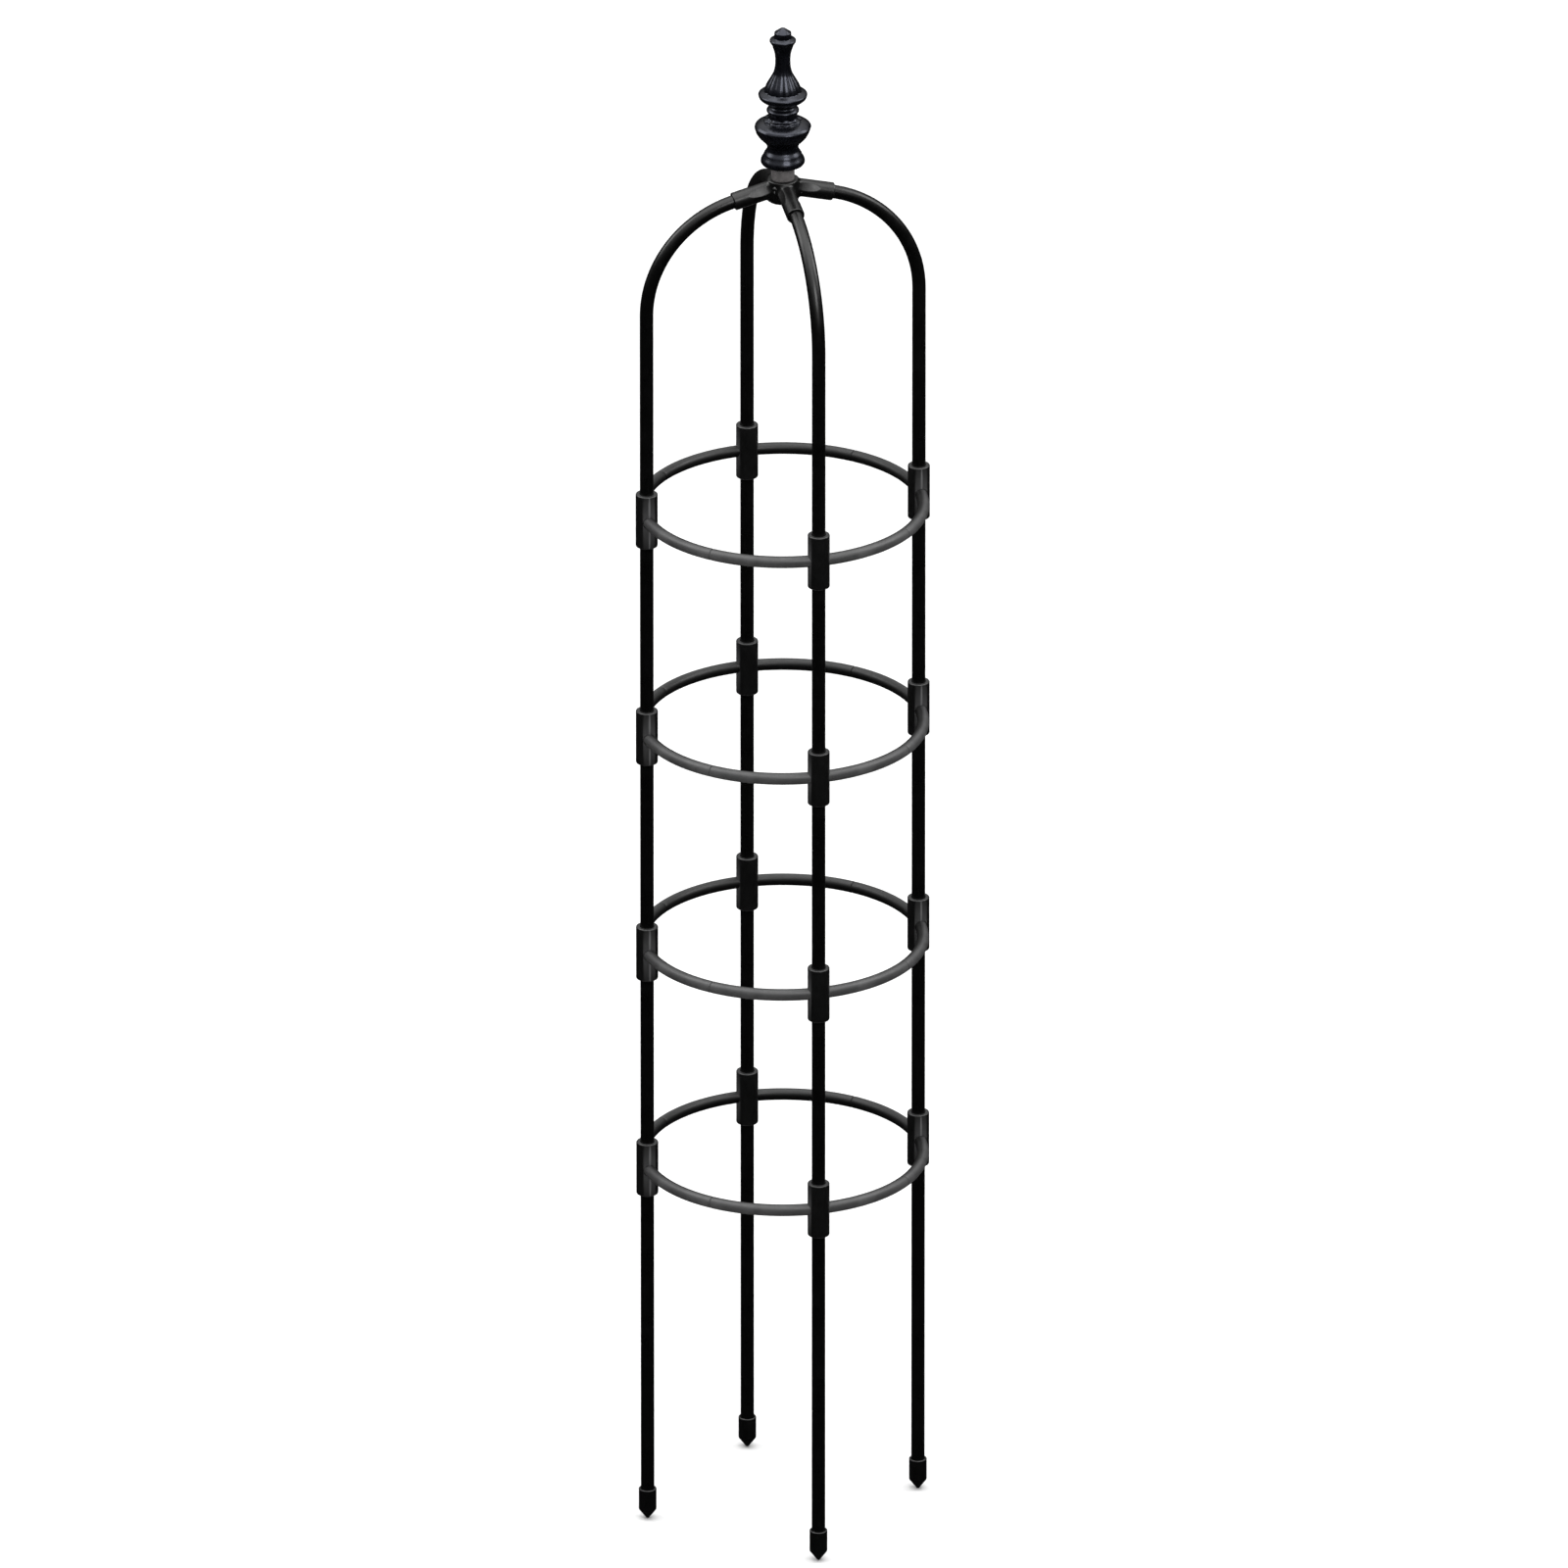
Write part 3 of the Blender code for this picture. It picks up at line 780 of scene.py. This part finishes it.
def leaf(angle, share, count, width):
    """The height of a pointed leaf, 0 to 1, at a share of the way from its foot to its tip."""
    if not 0 < share < 1:
        return 0
    half = width * math.pi / count * math.sin(math.pi * share**0.75) ** 0.8
    pitch = 2 * math.pi / count
    off = abs((angle + pitch / 2) % pitch - pitch / 2)
    if off >= half:
        return 0
    body = (1 - (off / half) ** 2) ** 0.5
    vein = 0.35 * math.exp(-((off / (0.10 * half + 0.004)) ** 2))
    return body * (1 - vein)


def finial_sections():
    """The outer side from top to bottom as (name, points): each section is its own smooth curve."""
    return [
        ("tip", [(0, 0.1748), (0.0020, 0.1741), (0.0056, 0.1717), (0.0084, 0.1693)]),
        ("drum", [(0.0098, 0.1686), (0.0100, 0.1660), (0.0098, 0.1622), (0.0103, 0.1612)]),
        ("cup", [(0.0138, 0.1606), (0.0153, 0.1593), (0.0153, 0.1573), (0.0138, 0.1545)]),
        (
            "neck",
            [
                (0.0129, 0.1535),
                (0.0114, 0.1488),
                (0.0099, 0.1435),
                (0.0092, 0.1380),
                (0.0090, 0.1325),
                (0.0092, 0.1270),
            ],
        ),
        (
            "bell",
            [
                (0.0097, 0.1232),
                (0.0114, 0.1170),
                (0.0146, 0.1110),
                (0.0174, 0.1060),
                (0.0199, 0.1010),
                (0.0213, 0.0968),
                (0.0217, 0.0946),
            ],
        ),
        ("plate", [(0.0226, 0.0938), (0.0270, 0.0920), (0.0287, 0.0902), (0.0283, 0.0876)]),
        ("under_plate", [(0.0274, 0.0856), (0.0238, 0.0826), (0.0182, 0.0796), (0.0146, 0.0780)]),
        ("throat", [(0.0142, 0.0766), (0.0142, 0.0748), (0.0153, 0.0734)]),
        ("bead", [(0.0180, 0.0722), (0.0190, 0.0706), (0.0189, 0.0688), (0.0176, 0.0668)]),
        ("skirt", [(0.0170, 0.0652), (0.0171, 0.0626), (0.0186, 0.0603), (0.0218, 0.0587)]),
        ("petal", [(0.0229, 0.0579), (0.0227, 0.0569), (0.0214, 0.0563)]),
        ("rim", [(0.0224, 0.0557), (0.0272, 0.0543), (0.0313, 0.0520), (0.0332, 0.0496)]),
        ("rim_edge", [(0.0334, 0.0484), (0.0330, 0.0468)]),
        (
            "bowl",
            [
                (0.0323, 0.0448),
                (0.0302, 0.0406),
                (0.0271, 0.0362),
                (0.0234, 0.0322),
                (0.0203, 0.0290),
                (0.0187, 0.0262),
            ],
        ),
        ("waist", [(0.0184, 0.0240), (0.0185, 0.0216), (0.0190, 0.0196)]),
        ("ogee", [(0.0204, 0.0178), (0.0218, 0.0156), (0.0227, 0.0134), (0.0235, 0.0116)]),
        ("base", [(0.0251, 0.0092), (0.0258, 0.0070), (0.0258, 0.0042), (0.0242, 0.0018)]),
        ("underside", [(0.0215, 0.0004), (0.0200, 0), (0.0152, 0), (POST_BORE + SOCKET_LEAD, 0)]),
    ]


def finial_swell(section, share, angle):
    """How much the ornament adds to the radius at a share of the way down its section."""
    bell = lobes(angle, BELL_LOBES) - 1
    petals = lobes(angle, BOWL_LEAVES) - 1
    if section == "neck":
        return NECK_FLUTES * ramp(share, 0.1, 0.6) * bell
    if section == "bell":
        flutes = (NECK_FLUTES + BELL_FLUTES * ramp(share, 0, 0.9)) * bell
        return flutes - BELL_HEM * ramp(share, 0.93, 1)
    if section == "skirt":
        return PETALS * ramp(share, 0.1, 1) * petals
    if section == "petal":
        return PETALS * petals
    if section in ("rim", "rim_edge"):
        return RIM_WAVES * petals
    if section == "bowl":
        leaves = leaf(angle, 1 - share * 0.98, BOWL_LEAVES, 0.92)
        fade = ramp(share, 0, 0.08)
        return RIM_WAVES * petals * (1 - ramp(share, 0, 0.25)) + LEAVES * fade * leaves
    return 0


def finial_piece():
    """The finial: a turned ornament with a fluted bell, a petalled rim and a leaved bowl."""
    outline, marks = [], []
    for section, points in finial_sections():
        line = smooth_line(points, OUTLINE_STEPS)
        for i, point in enumerate(line):
            outline.append(point)
            marks.append((section, i / (len(line) - 1)))
    inside = [(POST_BORE, SOCKET_LEAD), (POST_BORE, FINIAL_SOCKET), (0, FINIAL_SOCKET)]
    outline += [Vector(point) for point in inside]
    marks += [("socket", 0)] * len(inside)

    def swell(angle, place):
        return finial_swell(*marks[place], angle)

    return turned("finial", outline, FINIAL_SIDES, swell)


# Setting out


def add_piece(node, mesh, material, body, placing=None):
    """A fine piece in the place of a CAD node."""
    piece = new_object(f"fine_{node}", mesh)
    if not mesh.materials:
        mesh.materials.append(material)
    if placing:
        piece.matrix_world = placing
    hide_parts(node)
    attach(piece, body)
    return piece


def add_legs(materials):
    tube, plastic = materials["coated_tube"], materials["moulded_plastic"]
    lower = leg_tube_piece(span("lower_leg_tube_front").z)
    middle_tube = leg_tube_piece(span("leg_tube1_front").z)
    arc, connector = ring_arc_piece(), connector_piece()
    spike, arch = ground_spike_piece(), arch_tube_piece()
    for leg in LEGS:
        turn = leg_turn(leg)

        def standing(height):
            return turn @ Matrix.Translation((CIRCLE, 0, height))

        add_piece(f"ground_spike_{leg}", spike, plastic, "frame", standing(0))
        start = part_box(f"lower_leg_tube_{leg}")[0][2]
        add_piece(f"lower_leg_tube_{leg}", lower, tube, "frame", standing(start))
        for ring in RINGS:
            height = RING_HEIGHTS[ring]
            add_piece(f"ring{ring}_connector_{leg}", connector, plastic, "frame", standing(height))
            level = turn @ Matrix.Translation((0, 0, height))
            add_piece(f"ring{ring}_arc_{leg}", arc, materials["ring_tube"], "frame", level)
            if ring < RINGS[-1]:
                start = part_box(f"leg_tube{ring}_{leg}")[0][2]
                add_piece(f"leg_tube{ring}_{leg}", middle_tube, tube, "frame", standing(start))
        add_piece(f"arch_tube_{leg}", arch, tube, "frame", turn)


def add_top(materials):
    add_piece("top_hub", top_hub_piece(), materials["moulded_plastic"], "frame")
    add_piece("finial_post", post_piece(), materials["grey_metal"], "frame")
    add_piece("hub_screw", screw_piece(), materials["zinc_screw"], "frame")
    lift = Matrix.Translation((0, 0, FINIAL_HEIGHT))
    add_piece("finial", finial_piece(), materials["cast_finial"], "finial", lift)


# Studio


def add_camera():
    data = bpy.data.cameras.new("camera")
    data.sensor_width = SENSOR
    data.lens = SENSOR * CAMERA_DISTANCE / FRAME_WIDTH
    data.clip_start = 1
    data.clip_end = 1000
    camera = new_object("camera", data)
    right = Vector((math.cos(VIEW_AZIMUTH), math.sin(VIEW_AZIMUTH), 0))
    level = Vector((-math.sin(VIEW_AZIMUTH), math.cos(VIEW_AZIMUTH), 0))
    forward = level * math.cos(VIEW_ELEVATION) - Vector((0, 0, math.sin(VIEW_ELEVATION)))
    target = Vector((0, 0, VIEW_HEIGHT)) + right * VIEW_SIDE
    camera.location = target - forward * CAMERA_DISTANCE
    camera.rotation_euler = forward.to_track_quat("-Z", "Y").to_euler()
    bpy.context.scene.camera = camera


def add_floor():
    """A plain pale floor, left out of reflections so that the black undersides stay black."""
    work = bmesh.new()
    bmesh.ops.create_circle(work, cap_ends=True, segments=TURNED_SIDES, radius=FLOOR_RADIUS)
    mesh = bpy.data.meshes.new("floor")
    work.to_mesh(mesh)
    work.free()
    floor = new_object("floor", mesh)
    shader = Shader("floor_paint", (0.64, 0.64, 0.64), 0.9)
    shader.set(Specular_IOR_Level=0.1)
    mesh.materials.append(shader.material)
    floor.visible_glossy = False


def add_softbox(name, side, width, height, reach, level, power, aim):
    """A soft light that faces the tower's axis at the height of its aim.

    It stands its reach from the axis, at its level, side degrees round from the view's right.
    """
    data = bpy.data.lights.new(name, "AREA")
    data.shape = "RECTANGLE"
    data.size = width
    data.size_y = height
    data.energy = power
    light = new_object(name, data)
    angle = VIEW_AZIMUTH + math.radians(side)
    light.location = Vector((reach * math.cos(angle), reach * math.sin(angle), level))
    toward = Vector((0, 0, aim)) - light.location
    light.rotation_euler = toward.to_track_quat("-Z", "Y").to_euler()
    light.visible_camera = False


def add_dome():
    """Soft white light from above the horizon. What the camera sees past the floor is plain white."""
    world = bpy.data.worlds.new("studio")
    world.use_nodes = True
    tree = world.node_tree
    background = tree.nodes["Background"]
    background.inputs["Color"].default_value = (1, 1, 1, 1)
    place = tree.nodes.new("ShaderNodeTexCoord")
    axes = tree.nodes.new("ShaderNodeSeparateXYZ")
    tree.links.new(place.outputs["Generated"], axes.inputs["Vector"])
    rise = tree.nodes.new("ShaderNodeMapRange")
    rise.interpolation_type = "SMOOTHSTEP"
    rise.inputs["From Min"].default_value = DOME_FROM
    rise.inputs["From Max"].default_value = DOME_FULL
    rise.inputs["To Min"].default_value = DOME_DARK
    rise.inputs["To Max"].default_value = DOME_LIGHT
    tree.links.new(axes.outputs["Z"], rise.inputs["Value"])
    tree.links.new(rise.outputs["Result"], background.inputs["Strength"])
    backdrop = tree.nodes.new("ShaderNodeBackground")
    backdrop.inputs["Color"].default_value = (1, 1, 1, 1)
    rays = tree.nodes.new("ShaderNodeLightPath")
    chosen = tree.nodes.new("ShaderNodeMixShader")
    tree.links.new(rays.outputs["Is Camera Ray"], chosen.inputs["Fac"])
    tree.links.new(background.outputs["Background"], chosen.inputs[1])
    tree.links.new(backdrop.outputs["Background"], chosen.inputs[2])
    tree.links.new(chosen.outputs["Shader"], tree.nodes["World Output"].inputs["Surface"])
    bpy.context.scene.world = world


def add_lights():
    """A wide sun overhead, a softbox at each side and one high in front."""
    overhead = bpy.data.lights.new("overhead", "SUN")
    overhead.energy = SUN_POWER
    overhead.angle = SUN_WIDTH
    new_object("overhead", overhead)
    flank = {"width": 1.2, "height": 1.4, "reach": 2.0, "level": 3.0, "power": 26, "aim": 1.7}
    add_softbox("softbox_right", side=8, **flank)
    add_softbox("softbox_left", side=172, **flank)
    add_softbox("softbox_high", 294, width=1.5, height=0.9, reach=2.6, level=3.3, power=36, aim=1.8)


def main():
    add_camera()
    add_floor()
    add_dome()
    add_lights()
    bpy.context.scene.view_settings.view_transform = "Standard"
    materials = {
        "coated_tube": coated_tube_material(),
        "ring_tube": ring_tube_material(),
        "moulded_plastic": moulded_plastic_material(),
        "cast_finial": cast_finial_material(),
        "grey_metal": grey_metal_material(),
        "zinc_screw": zinc_screw_material(),
    }
    add_legs(materials)
    add_top(materials)


main()
